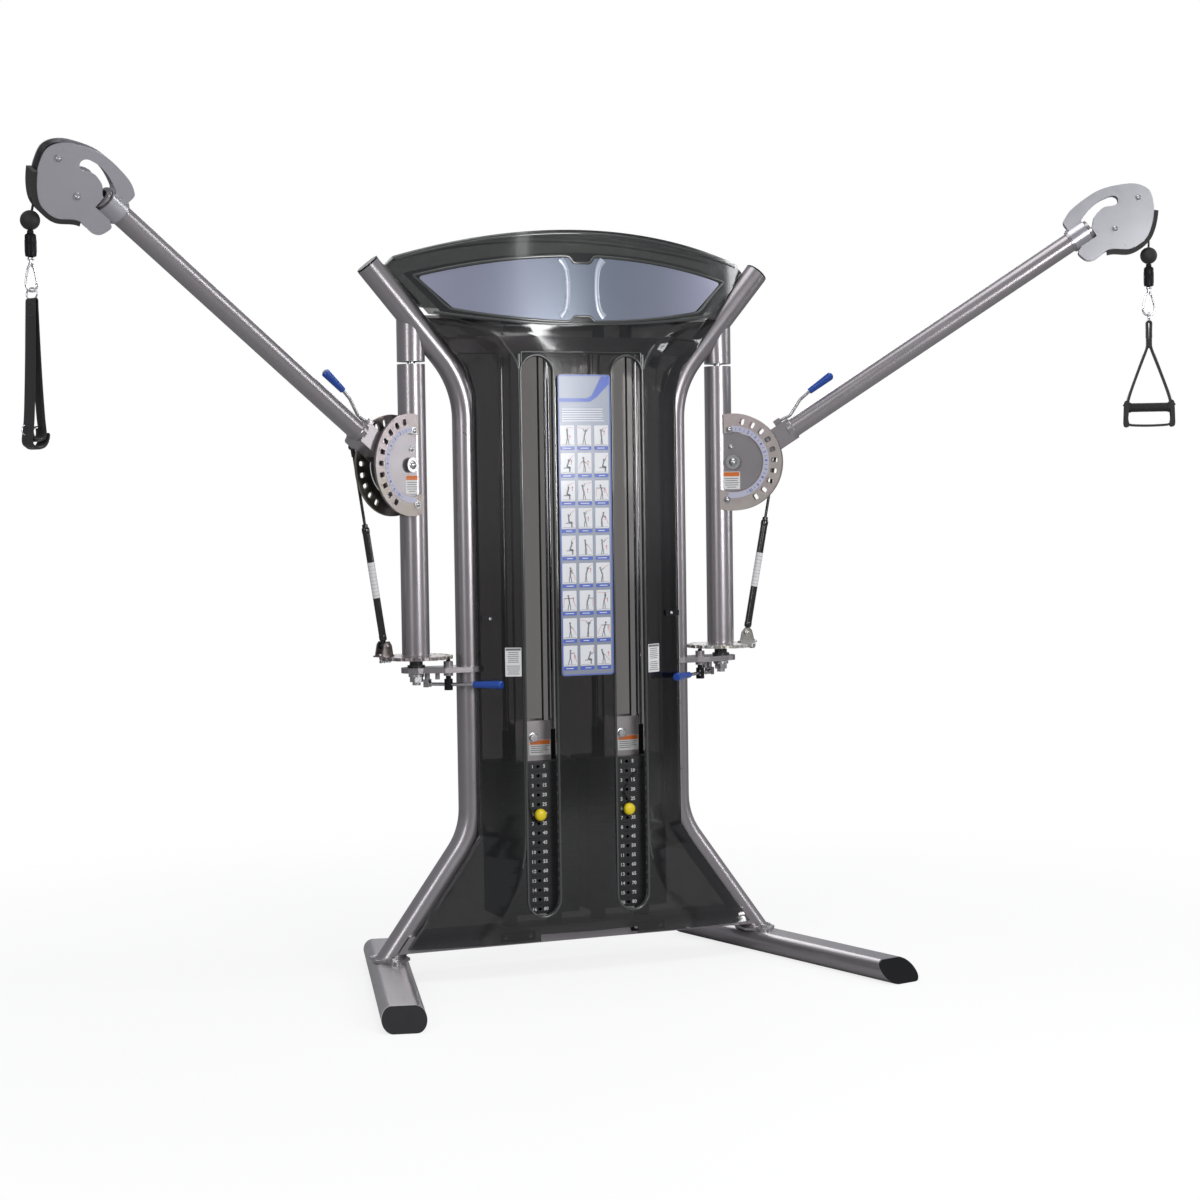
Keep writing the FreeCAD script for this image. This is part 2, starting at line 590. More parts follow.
# ---------------------------------------------------------------- shrouds
# Stations up the shroud: z, x of the side, x of the face's edge,
# then depths from the plane of the uprights at the face's edge, the side and the wing.
SHROUD_STATIONS = [
    (100.0, 545.0, 330.0, 104.0, 76.0, 66.0),
    (116.0, 532.0, 322.0, 104.0, 76.0, 66.0),
    (132.0, 504.0, 312.0, 104.0, 77.0, 66.0),
    (175.0, 452.0, 290.0, 104.0, 78.0, 66.0),
    (210.0, 413.0, 268.0, 104.0, 79.0, 66.0),
    (266.0, 348.0, 240.0, 104.0, 80.0, 66.0),
    (316.0, 311.0, 222.0, 104.0, 80.0, 66.0),
    (360.0, 286.0, 212.0, 104.0, 80.0, 66.0),
    (430.0, 268.0, 206.0, 104.0, 80.0, 66.0),
    (500.0, 258.0, 205.0, 104.0, 80.0, 66.0),
    (1780.0, 258.0, 205.0, 104.0, 80.0, 66.0),
    (1855.0, 264.0, 209.0, 103.0, 79.0, 62.0),
    (1900.0, 286.0, 228.0, 99.0, 74.0, 56.0),
    (1950.0, 330.0, 270.0, 88.0, 62.0, 47.0),
    (1985.0, 386.0, 322.0, 72.0, 51.0, 40.0),
    (2015.0, 456.0, 398.0, 52.0, 43.0, 37.0),
]


def section(station, rear):
    """Half outline of a shroud at a station, centre to lip: list of (x, depth)."""
    z, side_x, face_x, face_y, side_y, wing_y = station
    # the wing follows the upright where that leans outward
    wing_x = 330.0
    if z < UP_LOW.z:
        wing_x = max(wing_x, UP_LOW.x - (UP_LOW.z - z) * LEG_DIR.x / LEG_DIR.z - 25.0)
    if z > UP_HIGH.z:
        wing_x = max(wing_x, UP_HIGH.x + (z - UP_HIGH.z) * TOP_DIR.x / TOP_DIR.z - 32.0)
    wing_x = max(wing_x, side_x + 9.0)
    if z > 1900.0:
        lip_y = wing_y - 4.0
    else:
        lip_y = 47.0 if 200.0 < z < 1900.0 else 56.0
    rise = min(max((z - 1800.0) / 215.0, 0.0), 1.0)
    centre_y, quarter_y = 120.0 - 11.0 * rise, 107.0 - 8.0 * rise
    if rear:
        centre_y, quarter_y = 113.0, 110.0
        if z < 1900:
            wing_x = max(wing_x, side_x + 12.0)
            if z > 316:
                side_x = max(side_x, 300.0)
            face_y, side_y, wing_y = face_y + 4.0, 95.0, 70.0
        else:
            face_y, side_y, wing_y = max(face_y, 66.0), max(side_y, 56.0), 52.0
    return [(0.0, centre_y), (0.5 * face_x, quarter_y), (face_x * 0.96, face_y + 1),
            (face_x, face_y), (side_x, side_y), (wing_x, wing_y), (wing_x + 6.0, lip_y)]


def shell(rear):
    y_sign = 1.0 if rear else -1.0
    wires = []
    for station in SHROUD_STATIONS:
        half = section(station, rear)
        outer = [(-x, depth) for x, depth in reversed(half[1:])] + half
        inner = [(x, depth - SHELL_T) for x, depth in reversed(outer)]
        wires.append(closed_wire([Vector(x, y_sign * depth, station[0])
                                  for x, depth in outer + inner]))
    return Part.makeLoft(wires, True, True)


def shrouds():
    front = shell(rear=False)
    slot_r = SLOT_W / 2
    z0, z1 = SLOT_Z0 + slot_r, SLOT_Z1 - slot_r
    for side in SIDES:                # round-ended slot in front of each stack
        x = side * STACK_X
        slot = box(x - slot_r, x + slot_r, -200, -60, z0, z1)
        for z in (z0, z1):
            slot = slot.fuse(cyl_y(x, -200, z, slot_r, 140))
        front = front.cut(slot)
    front = front.cut(box(-161, 161, -200, -60, 60, 121))

    leg = rod(LEG_END, UP_LOW - LEG_DIR * 40, UP_R + 1.0)
    flange = box(UP_FOOT.x - 60, UP_FOOT.x + 60, -95, 95, 60, UP_FOOT.z + 30)
    diagonal = rod(UP_HIGH - TOP_DIR * 150, UP_TOP, UP_R + 0.8)
    plate_z = (PIVOT_PLATE_Z0 - 1, PIVOT_PLATE_Z1 + 1)
    frame = fuse(*pair(diagonal),
                 box(-TOP_X - 1, TOP_X + 1, TOP_Y0 - 1, TOP_Y1 + 1, TOP_Z0 - 1, TOP_Z1 + 1),
                 box(329, 420, -60, 60, *plate_z), box(-420, -329, -60, 60, *plate_z))
    clearances = [*pair(leg), *pair(flange), frame, *pair(upright_pipe(UP_R + 0.8))]
    put("front_shroud", largest(cut_all(front, *clearances)))
    put("rear_shroud", largest(cut_all(shell(rear=True), *clearances)))


def shroud_fixings():
    """Clips between front shroud and upright, and bolted tabs under the apron."""
    for side in SIDES:
        x = side * CLIP_X
        clip = box(x - 22, x + 22, -80.0, -76.0, CLIP_Z0, CLIP_Z1)
        x0, x1 = sorted((side * (CLIP_X + 14), side * (CLIP_X + 22)))
        put("shroud_clips", clip.fuse(box(x0, x1, -76.5, -72.0, CLIP_Z0, CLIP_Z1)))
        x = side * TAB_X
        put("shroud_clips", box(x - 56, x + 56, -57.5, -51.0, 97, 125))
        for dx in (-41, 41):
            put("frame_bolts", dome((x + dx, -57.6, 111), FRONT, 7.5, 4))


# ---------------------------------------------------------------- header cover
def header_body(inset):
    """Solid arched in elevation and lens-shaped in plan."""
    top = arc_points((-568 + inset, 2193 - inset), (0, 2275 - inset),
                     (568 - inset, 2193 - inset))
    low = arc_points((469 - inset * 0.8, 2019 + inset), (0, 1984 + inset),
                     (-469 + inset * 0.8, 2019 + inset))
    elevation = top + [(592 - inset, 2166)] + low + [(-592 + inset, 2166)]
    half, bulge = 598 - inset, HEADER_Y - inset
    plan = (arc_points((-half, -2), (0, -bulge), (half, -2))
            + arc_points((half, 2), (0, bulge), (-half, 2)))
    return prism(elevation, "y", -140, 140).common(prism(plan, "z", 1900, 2320))


def shroud_envelope():
    """Space taken by the shroud tops inside the header, with clearance."""
    clearance = 1.5

    def grown(station, rear):
        y_sign = 1 if rear else -1
        return [(x + clearance if x > 0 else x, y_sign * (depth + clearance))
                for x, depth in section(station, rear)]

    wires = []
    levels = zip((1950.0, 1985.0, 2016.0, 2045.0), SHROUD_STATIONS[-3:] + SHROUD_STATIONS[-1:])
    for z, station in levels:
        front, rear = grown(station, False), grown(station, True)
        outline = ([(-x, y) for x, y in reversed(front[1:])] + front
                   + list(reversed(rear)) + [(-x, y) for x, y in rear[1:]])
        wires.append(closed_wire([Vector(x, y, z) for x, y in outline]))
    return Part.makeLoft(wires, True, True)


def header_cover():
    cover = header_body(0.0).cut(header_body(4.0)).cut(shroud_envelope())
    diagonal = rod(UP_HIGH, UP_TOP + TOP_DIR * 60, UP_R + 1.5)
    outside = prism([(UP_HIGH.x, UP_HIGH.z), (UP_TOP.x, UP_TOP.z),
                     (UP_TOP.x + 60, UP_TOP.z + 200), (1200, UP_TOP.z + 200),
                     (1200, UP_HIGH.z)], "y", -300, 300)
    put("header_cover", largest(cut_all(cover, *pair(diagonal), *pair(outside))))


def header_banner():
    """Sign panel on the header's face, with notches at mid length."""
    def lens(gap):
        outline = arc_points((-598, -2), (0, -HEADER_Y - gap), (598, -2))
        return prism(outline + [(598, 40), (-598, 40)], "z", 1900, 2320)

    top = arc_points((-500, 2130), (0, 2190), (500, 2130))
    outline = top + arc_points((400, 2037), (0, 2000), (-400, 2037))
    # from the last corner to the first, so that the earlier indices still hold
    for index, radius in ((2 * len(top) - 1, 24.0), (len(top), 24.0),
                          (len(top) - 1, 9.0), (0, 9.0)):
        outline = round_corner(outline, index, radius)
    banner = prism(outline, "y", -140, 0).common(lens(2.6)).cut(lens(0.3))
    for notch in ([(-36, 2200), (-24, 2172), (24, 2172), (36, 2200)],
                  [(-34, 1990), (-24, 2013), (24, 2013), (34, 1990)]):
        banner = banner.cut(prism(notch, "y", -160, 0))
    put("header_banner", largest(banner))


def exercise_placard():
    put("exercise_placard",
        round_edges(box(-86, 86, -124.0, -121.0, 914, 1835), Y_AXIS, 10.0))


# ---------------------------------------------------------------- column, right side
# Column frame: x along the arm's plan direction, y to the rear of that plane, z up;
# origin on the column axis.
def from_column(shape):
    return moved(shape, Z_AXIS, -ARM_YAW, Vector(COL_X, COL_Y, 0))


def put_column_pieces(name, *shapes):
    put_both(name, *[from_column(shape) for shape in shapes])


def column():
    tube = cyl_z(0, 0, COL_Z0, COL_R, COL_Z1 - COL_Z0)
    tube = tube.cut(cyl_z(0, 0, COL_Z0 + 8, COL_R - COL_WALL, COL_Z1 - COL_Z0 - 16))
    tube = tube.cut(box(0, 80, -CHEEK_Y0, CHEEK_Y0, PIV_Z - 128, PIV_Z + 128))
    for side in SIDES:                # cheek plates either side of the arm pivot
        y0, y1 = sorted((side * CHEEK_Y0, side * CHEEK_Y1))
        disc = cyl_y(PIV_X, y0, PIV_Z, 94.0, y1 - y0)
        disc = disc.common(box(6, 300, -60, 60, PIV_Z - 200, PIV_Z + 200))
        web = prism([(6, PIV_Z - 130), (44, PIV_Z - 130), (62, PIV_Z - 100),
                     (62, PIV_Z + 100), (50, PIV_Z + 116), (6, PIV_Z + 116)], "y", y0, y1)
        tube = tube.fuse(disc.fuse(web))
    tube = tube.cut(cyl_y(PIV_X, -60, PIV_Z, PIV_R + 0.05, 120))
    for x, z in SECTOR_BOLTS:
        tube = tube.cut(cyl_y(PIV_X + x, -60, PIV_Z + z, 5.1, 120))
    tube = fuse(tube, cyl_z(0, 0, 896, SPINDLE_R, COL_Z0 - 895),
                cyl_z(0, 0, COL_Z1 - 1, SPINDLE_R, 44))
    pivot_bolt = fuse(cyl_y(PIV_X, -50, PIV_Z, PIV_R, 100), cyl_y(PIV_X, -49, PIV_Z, 22.7, 4),
                      dome((PIV_X, -49, PIV_Z), FRONT, 13, 9),
                      cyl_y(PIV_X, 45, PIV_Z, 22.7, 4),
                      hex_head((PIV_X, 49, PIV_Z), BACK, 14, 10))
    nut = fuse(hex_head((0, 0, 906), UP, 21, 16), cyl_z(0, 0, 922, 24, 8))
    nut = nut.cut(cyl_z(0, 0, 880, SPINDLE_R + 0.05, 80))
    put_column_pieces("column", tube, pivot_bolt, nut)


def column_bearings():
    plate_top = PIVOT_PLATE_Z1 + 0.1
    lower = fuse(cyl_z(0, 0, plate_top, 20, INDEX_Z0 - PIVOT_PLATE_Z1 - 0.4),
                 cyl_z(0, 0, plate_top, 27, 7))
    lower = lower.cut(cyl_z(0, 0, 900, SPINDLE_R + RUN_CLR, 100))
    upper = cyl_z(0, 0, STUB_Z0 + 1, COL_R - 6.1, 40)
    upper = upper.cut(cyl_z(0, 0, STUB_Z0 - 5, SPINDLE_R + RUN_CLR, 80))
    for bearing in (lower, upper):
        put("column_bearings", *pair(from_column(bearing)))


def hole_plate(side):
    y0, y1 = sorted((side * (CHEEK_Y1 + 0.1), side * (CHEEK_Y1 + SECTOR_T)))
    plate = cyl_y(0, y0, 0, SECTOR_R, y1 - y0)
    plate = plate.cut(cyl_y(0, y0 - 1, 0, SECTOR_RI, y1 - y0 + 2))
    plate = plate.common(prism([(-29, 200), (-29, 75), (-44, -75), (-44, -200),
                                (300, -200), (300, 200)], "y", -80, 80))
    for k in range(SECTOR_HOLES):
        angle = math.radians(45 + ARM_PITCH - PIN_DROP - k * SECTOR_STEP)
        hole = round_edges(box(-10, 10, -80, 80, -7.5, 7.5), Y_AXIS, 5.0)
        centre = Vector(SECTOR_HOLE_R * math.cos(angle), 0, SECTOR_HOLE_R * math.sin(angle))
        plate = plate.cut(moved(hole, Y_AXIS, -math.degrees(angle), centre))
    for x, z in SECTOR_BOLTS:
        plate = plate.cut(cyl_y(x, -80, z, 5.2, 160))
    plate.translate(Vector(PIV_X, 0, PIV_Z))
    return plate.cut(cyl_z(0, 0, PIV_Z - 200, COL_R + 0.3, 400))


def hole_plates():
    """Sector plates either side of the arm, with their bolts."""
    pieces = []
    for side in SIDES:
        outward, inward = Y_AXIS * side, Y_AXIS * -side
        pieces.append(hole_plate(side))
        for x, z in SECTOR_BOLTS:
            seat = Vector(PIV_X + x, side * (CHEEK_Y1 + SECTOR_T + 0.1), PIV_Z + z)
            pieces.append(fuse(Part.makeCylinder(11.5, 2, seat, outward),
                               dome(seat + outward * 2, outward, 9, 6),
                               Part.makeCylinder(5.0, SECTOR_T, seat, inward)))
        seat = Vector(PIV_X - 7, side * (CHEEK_Y1 + 0.1), PIV_Z + 48)
        head = dome((seat.x, side * (CHEEK_Y1 + 2), seat.z), outward, 8.5, 6)
        pieces.append(fuse(Part.makeCylinder(10.5, 2, seat, outward), head))
    put_column_pieces("hole_plates", *pieces)


def index_plate():
    """Plate with scalloped rim and plunger holes, and the strut clevis bolted to it."""
    def drill(radius, degrees, hole_r):
        angle = math.radians(degrees)
        return cyl_z(radius * math.cos(angle), radius * math.sin(angle), INDEX_Z0 - 1,
                     hole_r, 20)

    plate = cyl_z(0, 0, INDEX_Z0, INDEX_R, INDEX_Z1 - INDEX_Z0)
    for k in range(24):
        plate = plate.cut(drill(INDEX_R * 1.035, INDEX_STEP / 2 + INDEX_STEP * k, 9.0))
    plunger_angle = math.degrees(math.atan2(PLUNGER_DY, PLUNGER_DX)) + ARM_YAW
    for k in range(-5, 6):
        plate = plate.cut(drill(math.hypot(PLUNGER_DX, PLUNGER_DY),
                                plunger_angle + INDEX_STEP * k, 7.0))
    plate = plate.cut(cyl_z(0, 0, INDEX_Z0 - 1, SPINDLE_R + 0.05, 20))

    x, z = STRUT_LOW.x, STRUT_LOW.z
    foot = prism([(52, 40), (62, 34), (106, 34), (112, 42), (112, 72), (60, 74), (52, 66)],
                 "z", INDEX_Z1 + 0.1, INDEX_Z1 + 5)
    ear = [(58, INDEX_Z1 + 4), (104, INDEX_Z1 + 4), (96, 1024), (88, 1033), (74, 1033),
           (64, 1020)]
    clevis = fuse(foot, prism(ear, "y", 39, 43.5), prism(ear, "y", 68.5, 73))
    clevis = clevis.cut(cyl_y(x, 20, z, STRUT_PIN_R + 0.05, 80))
    pin = fuse(cyl_y(x, 37, z, STRUT_PIN_R, 38), dome((x, 39, z), FRONT, 9, 5),
               hex_head((x, 73, z), BACK, 8, 6))
    bolts = [hex_head((bolt_x, 54, INDEX_Z1 + 5.1), UP, 8, 5) for bolt_x in (66, 100)]
    bolts += [hex_head((*place, INDEX_Z0 - 0.1), DOWN, 9, 8) for place in ((66, 54), (98, 48))]
    put_column_pieces("index_plate", plate.removeSplitter(), clevis.removeSplitter(), pin,
                      *bolts)


# ---------------------------------------------------------------- arm, right side
# Arm frame: x along the arm, y as in the column frame, origin at the arm pivot.
LUG_X, LUG_Z, LUG_PIN_R = 184.0, 31.0, 4.0    # pivot of the release lever


def put_arm_pieces(name, *shapes):
    put_column_pieces(name, *[moved(shape, Y_AXIS, -ARM_PITCH, Vector(PIV_X, 0, PIV_Z))
                              for shape in shapes])


def to_arm(x, z):
    """Level (x, z) distances from the pivot, turned into the arm frame."""
    return Vector(x * COS_PITCH + z * SIN_PITCH, 0, -x * SIN_PITCH + z * COS_PITCH)


def arm():
    axis_z = ARM_OFF
    top_z, low_z = 34 + axis_z, -34 + axis_z
    sides = []
    for y in (-30.0, 24.0):
        plate = prism([(0, 40), (28, 38), (100, top_z), (206, top_z), (206, low_z),
                       (100, low_z), (28, -42), (0, -40)], "y", y, y + 6)
        sides.append(plate.fuse(cyl_y(0, y, 0, 40, 6)))
    yoke = fuse(*sides, box(118, 206, -24, 24, top_z - 6, top_z),
                box(118, 206, -24, 24, low_z, low_z + 6))
    yoke = yoke.cut(cyl_y(0, -60, 0, PIV_R + RUN_CLR, 120))

    tube_end = ARM_LEN - 28.0
    body = fuse(yoke, cyl_x(200, 0, axis_z, 35.5, 16),
                cyl_x(200, 0, axis_z, ARM_OD / 2, tube_end - 200),
                cyl_x(tube_end - 6, 0, axis_z, 35.0, 6),
                cyl_x(tube_end - 30, 0, axis_z, SPIGOT_R, 98),
                cyl_x(ARM_LEN + 30.0, 0, axis_z, 31.0, 8))
    body = body.cut(cyl_x(190, 0, axis_z, ARM_OD / 2 - ARM_WALL, tube_end - 221))
    body = body.cut(cyl_x(tube_end - 40, 0, axis_z, 20.0, 200))
    body = body.cut(cyl_y(PIN_X, -60, PIN_Z, 6.0 + RUN_CLR, 60))

    lug = box(174, 196, -12, 12, top_z - 2, LUG_Z + 7)
    lug = lug.cut(box(172, 198, -6.3, 6.3, top_z + 1.0, 80))
    lug = lug.cut(cyl_y(LUG_X, -20, LUG_Z, LUG_PIN_R + 0.05, 40))
    strut_bracket = fuse(box(162, 196, 29, 48.5, -44, -14), box(131, 196, 48.5, 52, -39, -13))
    strut_end = to_arm(STRUT_UP.x - PIV_X, STRUT_UP.z - PIV_Z)
    stud = cyl_y(strut_end.x, 50, strut_end.z, STRUT_PIN_R, 8.0)
    put_arm_pieces("arm", fuse(body, lug, strut_bracket, stud))


def arm_lock_pin():
    """Pin across the front side plate, drawn released."""
    put_arm_pieces("arm_lock_pin", cyl_y(PIN_X, -36.0, PIN_Z, 6.0, 26)
                   .fuse(cyl_y(PIN_X, -13.0, PIN_Z, 11.0, 5)))


def arm_lever():
    """Release lever: bent rod and grip, pivoted in the lug above the yoke."""
    corners = [Vector(LUG_X, 0, LUG_Z), to_arm(179, 145), to_arm(212, 195), to_arm(243, 222)]
    lever = pipe(corners, [14.0, 22.0], 5.0).fuse(cyl_y(LUG_X, -6, LUG_Z, 7.0, 12))
    lever = lever.cut(cyl_y(LUG_X, -20, LUG_Z, LUG_PIN_R + 0.05, 40))
    lever = largest(lever.removeSplitter())
    start, end = to_arm(241, 220.3), to_arm(311, 270)
    grip = taper_grip(start, (end - start).normalize(), start.distanceToPoint(end) - 6,
                      radius=13.0, band=3, ball_shift=-2, cap_length=10)
    pin = cyl_y(LUG_X, -12.0, LUG_Z, LUG_PIN_R, 24)
    put_arm_pieces("arm_lever", lever, largest(grip.cut(lever)), pin)


# ---------------------------------------------------------------- column lock
def column_plunger():
    x, y = PLUNGER_X, PLUNGER_Y
    plunger = cyl_z(x, y, 884.0, PLUNGER_R, 82.5)
    plunger = plunger.fuse(cyl_z(x, y, 960.0, 6.4, 14.5)).fuse(cyl_z(x, y, 880.0, 13.0, 34))
    plunger = plunger.cut(cyl_z(x, y, 971, 20, 20).cut(cyl_z(x, y, 960, 6.4, 40)))
    slot = box(-30, 30, -6.5, 6.5, 0, 16)
    slot = moved(slot, Z_AXIS, LEVER_ANGLE, Vector(x, y, 889.5))
    put_both("column_plunger", largest(plunger.cut(slot)))


def column_lever():
    bar = Part.makeCylinder(5.5, 160, LEVER_PIVOT, LEVER_DIR)
    bar = bar.fuse(Part.makeSphere(9.0, LEVER_PIVOT))
    bar = bar.cut(lever_cross_pin(LEVER_PIN_R + 0.02, 20))
    start = LEVER_PIVOT + LEVER_DIR * 153
    grip = taper_grip(start, LEVER_DIR, 84, radius=12.5, band=4, ball_shift=3, cap_length=7)
    grip = grip.cut(Part.makeCylinder(5.55, 9, start - LEVER_DIR, LEVER_DIR))
    put_both("column_lever", bar.removeSplitter(), grip.removeSplitter(),
             lever_cross_pin(LEVER_PIN_R, 13))


# ---------------------------------------------------------------- gas strut
def gas_strut():
    span = STRUT_UP - STRUT_LOW
    length = span.Length
    direction = span.normalize()

    def along(distance, radius, height):
        return Part.makeCylinder(radius, height, STRUT_LOW + direction * distance, direction)

    x, z = STRUT_LOW.x, STRUT_LOW.z
    bore_r = 4.6
    body = along(24, 11.0, 341).cut(along(34, bore_r, 340))
    eye = cyl_y(x, 45, z, 9.0, 22).fuse(along(4, 6.5, 24))
    eye = eye.cut(cyl_y(x, 20, z, STRUT_PIN_R + RUN_CLR, 80))
    neck = along(365, 8.5, 10).cut(along(364, bore_r, 12))
    put_column_pieces("strut_cylinder", fuse(body, eye, neck))
    rod_start = 365 - 110
    socket = cyl_y(STRUT_UP.x, 63.0, STRUT_UP.z, 9.5, 17)
    socket = socket.fuse(Part.makeCylinder(7.0, 26, STRUT_UP - direction * 30, direction))
    put_column_pieces("strut_rod",
                      fuse(along(rod_start, 4.5, length - 8 - rod_start), socket))


# ---------------------------------------------------------------- pulley heads
# Head frame: x outward, z up, origin at the collar centre, plates normal to y.
COLLAR = Vector(PIV_X + ARM_LEN * COS_PITCH - ARM_OFF * SIN_PITCH, 0,
                PIV_Z + ARM_LEN * SIN_PITCH + ARM_OFF * COS_PITCH)
UPPER_AXLE, LOWER_AXLE = (178.0, 112.0), (107.0, 18.0)     # x, z

# smooth outlines and paths, x and z
HEAD_OUTLINE = [
    (-49, 46), (-36, 69), (3, 104), (66, 141), (120, 153), (151, 156), (190, 149),
    (212, 133), (223, 101), (226, 70), (222, 40), (216, 16), (203, -12), (181, -32),
    (148, -46), (110, -44), (84, -48), (62, -64), (42, -76), (24, -77), (6, -66),
    (-4, -52), (4, -36), (-20, 0), (-38, 22)]
HEAD_WINDOW = [
    (6, 50), (28, 79), (57, 104), (85, 117), (103, 120), (116, 111), (116, 98),
    (104, 90), (77, 86), (57, 72), (43, 52), (38, 30), (10, 20)]
BUMPER_PATH = [(226, 72), (222, 40), (216, 16), (203, -12), (181, -32), (148, -46),
               (110, -44), (84, -47)]


def head_plate(y0, y1):
    plate = smooth_prism(HEAD_OUTLINE, y0, y1)
    jaw = moved(box(-60, 42, -80, 80, -30.5, 30.5), Y_AXIS, -ARM_PITCH, ORIGIN)
    return plate.cut(jaw).cut(smooth_prism(HEAD_WINDOW, -80, 80))


def collar_cyl(start, end, radius):
    """Cylinder along the arm's axis, from and to distances along it."""
    direction = Vector(COS_PITCH, 0, SIN_PITCH)
    return Part.makeCylinder(radius, end - start, direction * start, direction)


def head_frame():
    """Two plates joined by the collar and by ribs above and below the jaw."""
    bore_r = SPIGOT_R + RUN_CLR
    collar = collar_cyl(-27.8, 27.8, 39.0).cut(collar_cyl(-40, 40, bore_r))
    frame = head_plate(HEAD_Y, HEAD_Y + HEAD_T).fuse(head_plate(-HEAD_Y - HEAD_T, -HEAD_Y))
    frame = frame.fuse(collar)
    for x, z in ((-14, 64), (30, -64)):
        frame = frame.fuse(cyl_y(x, -HEAD_Y - 0.5, z, 7.0, 2 * HEAD_Y + 1))
    frame = frame.cut(collar_cyl(-40, 29.5, bore_r)).removeSplitter()
    for x, z in (UPPER_AXLE, LOWER_AXLE):
        frame = frame.cut(cyl_y(x, -60, z, AXLE_R + 0.02, 120))
    return [solid for solid in frame.Solids if solid.Volume > 500]


def head_axle(x, z):
    return fuse(cyl_y(x, -30, z, AXLE_R, 60), cyl_y(x, -26.6, z, 11.0, 2.4),
                dome((x, -26.6, z), FRONT, 8.5, 6), cyl_y(x, 24.2, z, 11.0, 2.4),
                hex_head((x, 26.6, z), BACK, 8.5, 6))


def head_bumper(frame):
    """Strip round the outer lower edge, relieved for the ball and its wire."""
    bumper = strip(BUMPER_PATH, 13.0, 0.4, -27, 27)
    bumper = bumper.cut(Part.makeSphere(BALL_R + 0.6, Vector(BALL_X, 0, BALL_Z)))
    bumper = bumper.cut(cyl_z(BALL_X + 4, 0, BALL_Z, 6.0, 120))
    bumper = bumper.cut(box(BALL_X - 1, BALL_X + 11, -6, 6, BALL_Z, BALL_Z + 150))
    return [solid for solid in cut_all(bumper, *frame).Solids if solid.Volume > 200]


def place_head(shape, side):
    shape = shape.copy()
    shape.translate(COLLAR)
    shape = from_column(shape)
    if side < 0:
        shape = mirror(shape)
        centre = Vector(-(COL_X + COLLAR.x * COS_YAW), COL_Y - COLLAR.x * SIN_YAW, COLLAR.z)
        axis = Vector(-COS_PITCH * COS_YAW, -COS_PITCH * SIN_YAW, SIN_PITCH)
        shape.rotate(centre, axis, LEFT_HEAD_TURN)
    return shape


def pulley_heads():
    frame = head_frame()
    bore_r = AXLE_R + RUN_CLR
    ball = Part.makeSphere(BALL_R, Vector(BALL_X, 0, BALL_Z))
    ball = ball.cut(cyl_z(BALL_X, 0, BALL_Z - 30, END_WIRE_R + 0.1, 60))
    wire = cyl_z(BALL_X, 0, BALL_Z - 24, END_WIRE_R, 60)
    pieces = {
        "head_frame": frame + [head_axle(*UPPER_AXLE), head_axle(*LOWER_AXLE)],
        "head_bumper": head_bumper(frame),
        "head_pulley_upper": [pulley(UPPER_AXLE[0], 0, UPPER_AXLE[1], 40.0, 34.8, 24.0, bore_r)],
        "head_pulley_lower": [pulley(LOWER_AXLE[0], 0, LOWER_AXLE[1], 36.0, 31.0, 24.0, bore_r)],
        "cable_ball": [ball, wire],
    }
    for side, side_name in SIDE_NAMES.items():
        for name, shapes in pieces.items():
            put(side_name + "_" + name, *[place_head(shape, side) for shape in shapes])


# ---------------------------------------------------------------- hooks and handles
# Drawn below the origin, which is set at the centre of the cable ball.
HOOK_LOOP = [(0, -111), (-9, -118), (-14, -134), (-18, -160), (-17, -172), (-9, -181),
             (0, -184), (9, -181), (17, -172), (18, -160), (14, -134), (9, -118)]  # x, z
HANDLE_LEG = [(8, -282), (13, -300), (32, -352), (58, -425), (68, -462), (69, -505)]
CUFF_STRAPS = (
    [(-3, -206), (-8, -300), (-13, -420), (-16, -500), (-15, -560)],
    [(3, -206), (8, -300), (12, -420), (15, -500), (18, -545)])


def hang(shape, side):
    ball = place_head(Part.Vertex(Vector(BALL_X, 0, BALL_Z)), side).Point
    return moved(shape, Z_AXIS, -ARM_YAW * side, ball)


def snap_hook():
    sleeve = fuse(cyl_z(0, 0, -96, 15.0, 62), cyl_z(0, 0, -34, 9.0, 5.0))
    neck = fuse(cyl_z(0, 0, -112, 5.0, 15.9), cyl_z(0, 0, -104, 9.0, 6))
    curve = smooth_loop(HOOK_LOOP, 0)
    start = curve.FirstParameter
    circle = Part.makeCircle(3.3, curve.value(start), curve.tangent(start)[0])
    path = Part.Wire([curve.toShape()])
    loop = path.makePipeShell([Part.Wire([circle])], True, False)
    # a sweep round a closed path may come back as a bare shell, which is left out
    return [sleeve, neck.fuse(loop) if loop.Solids else neck]


def handle_ring(thickness_r):
    return Part.makeTorus(RING_R, thickness_r, Vector(0, 0, RING_Z), X_AXIS)


def strap(points, half_width, thickness):
    return strip(points, thickness / 2, -thickness / 2, -half_width, half_width)


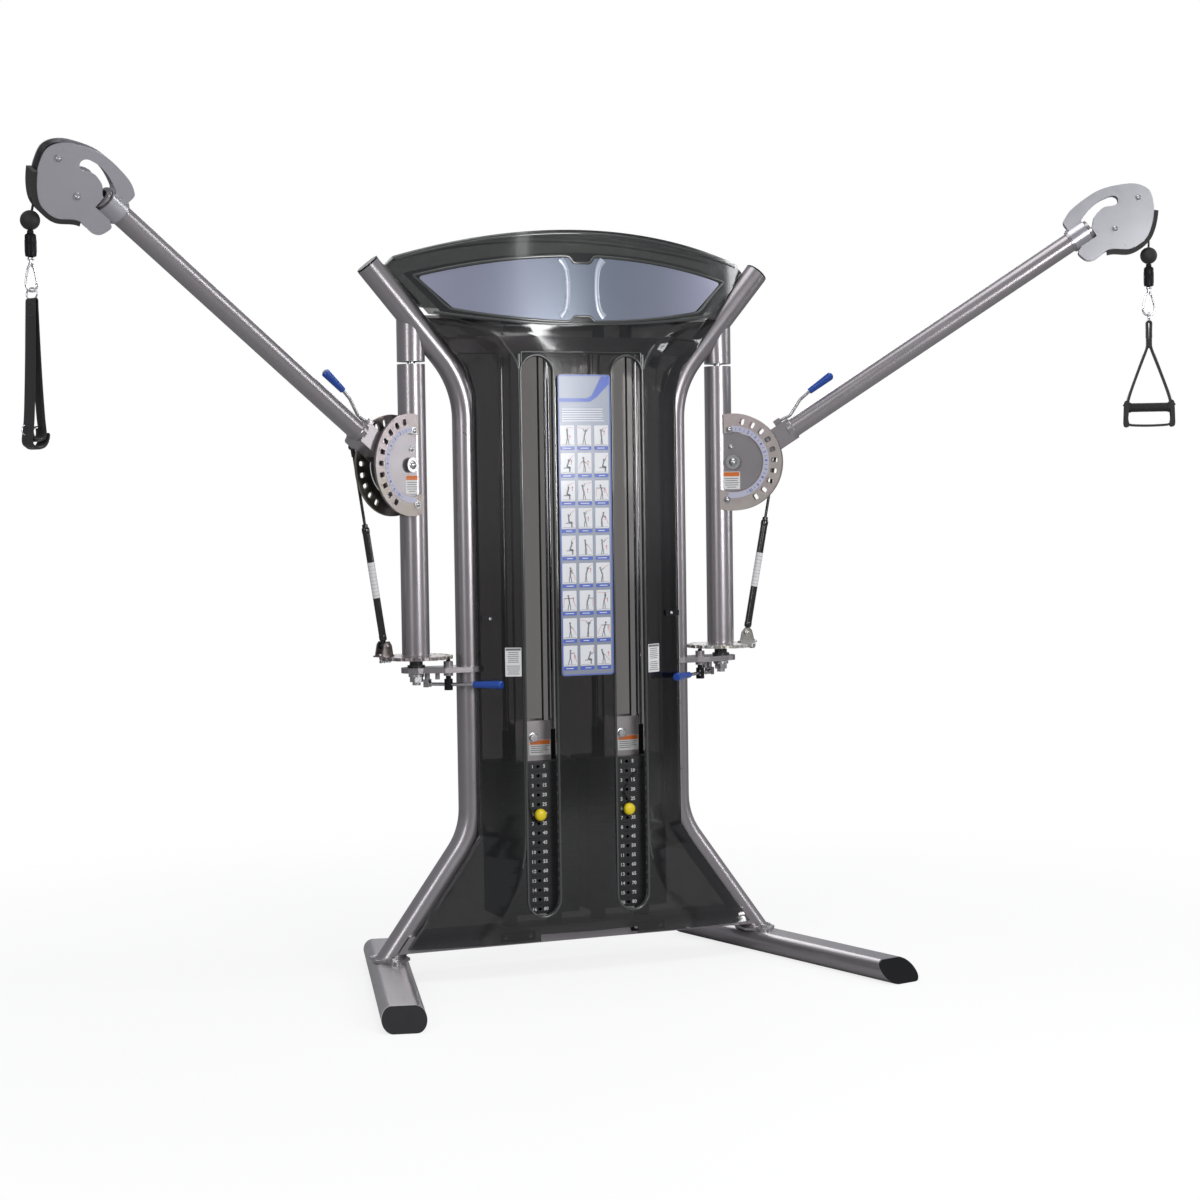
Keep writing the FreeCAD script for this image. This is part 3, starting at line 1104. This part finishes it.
def stirrup_handle():
    """Webbing stirrup with a moulded grip."""
    handle = box(-15, 15, -14, 14, -288, -214)
    for side in SIDES:
        handle = handle.fuse(strap([(side * x, z) for x, z in HANDLE_LEG], 14, 9.0))
    handle = handle.fuse(cyl_x(-66, 0, -470, 14.0, 132))
    handle = handle.fuse(box(-78, 78, -13, 13, -530, -520))
    for side in SIDES:
        x0, x1 = sorted((side * 68, side * 78))
        handle = handle.fuse(box(x0, x1, -13, 13, -522, -486))
    handle = handle.fuse(box(-15, 15, -14, 14, -218, -203))
    return handle.cut(handle_ring(3.2))


def cuff_handle():
    """Long webbing loop with a curled cuff at its lower end."""
    first, second = [strap(points, 22, 6.0) for points in CUFF_STRAPS]
    curl = cyl_y(2, -22, -560, 30.0, 44).cut(cyl_y(2, -30, -560, 23.0, 60))
    handle = first.fuse(second).fuse(box(-7, 7, -22, 22, -222, -200)).fuse(curl)
    return handle.cut(handle_ring(3.2))


def hooks_and_handles():
    for side, handle in ((1, stirrup_handle()), (-1, cuff_handle())):
        name = SIDE_NAMES[side]
        put(name + "_snap_hook", *[hang(shape, side) for shape in snap_hook()])
        put(name + "_handle", hang(handle, side), hang(handle_ring(2.6), side))


# ---------------------------------------------------------------- fasteners
def frame_bolts():
    for side in SIDES:
        x = side * UP_FOOT.x
        for y in (-FLANGE_BOLT_Y, FLANGE_BOLT_Y):
            put("frame_bolts", fuse(hex_head((x, y, UP_FOOT.z + 9.7), UP, 10, 7),
                                    cyl_z(x, y, UP_FOOT.z + 8.1, 12.5, 1.6)))
        z = (CLIP_Z0 + CLIP_Z1) / 2
        put("frame_bolts", dome((side * CLIP_BOLT_X, -80.1, z), FRONT, 5, 3))


# ---------------------------------------------------------------- build and write
for build in (base_rails, uprights, cross_members, weight_stacks, shrouds, shroud_fixings,
              header_cover, header_banner, exercise_placard, column, column_bearings,
              hole_plates, index_plate, arm, arm_lock_pin, arm_lever, column_plunger,
              column_lever, gas_strut, pulley_heads, hooks_and_handles, frame_bolts):
    build()

for name, solids in sorted(nodes.items()):
    piece = solids[0] if len(solids) == 1 else Part.makeCompound(solids)
    piece = piece.copy()
    piece.translate(Vector(0, FRAME_Y, 0))
    piece.exportStep("parts/" + name + ".step")
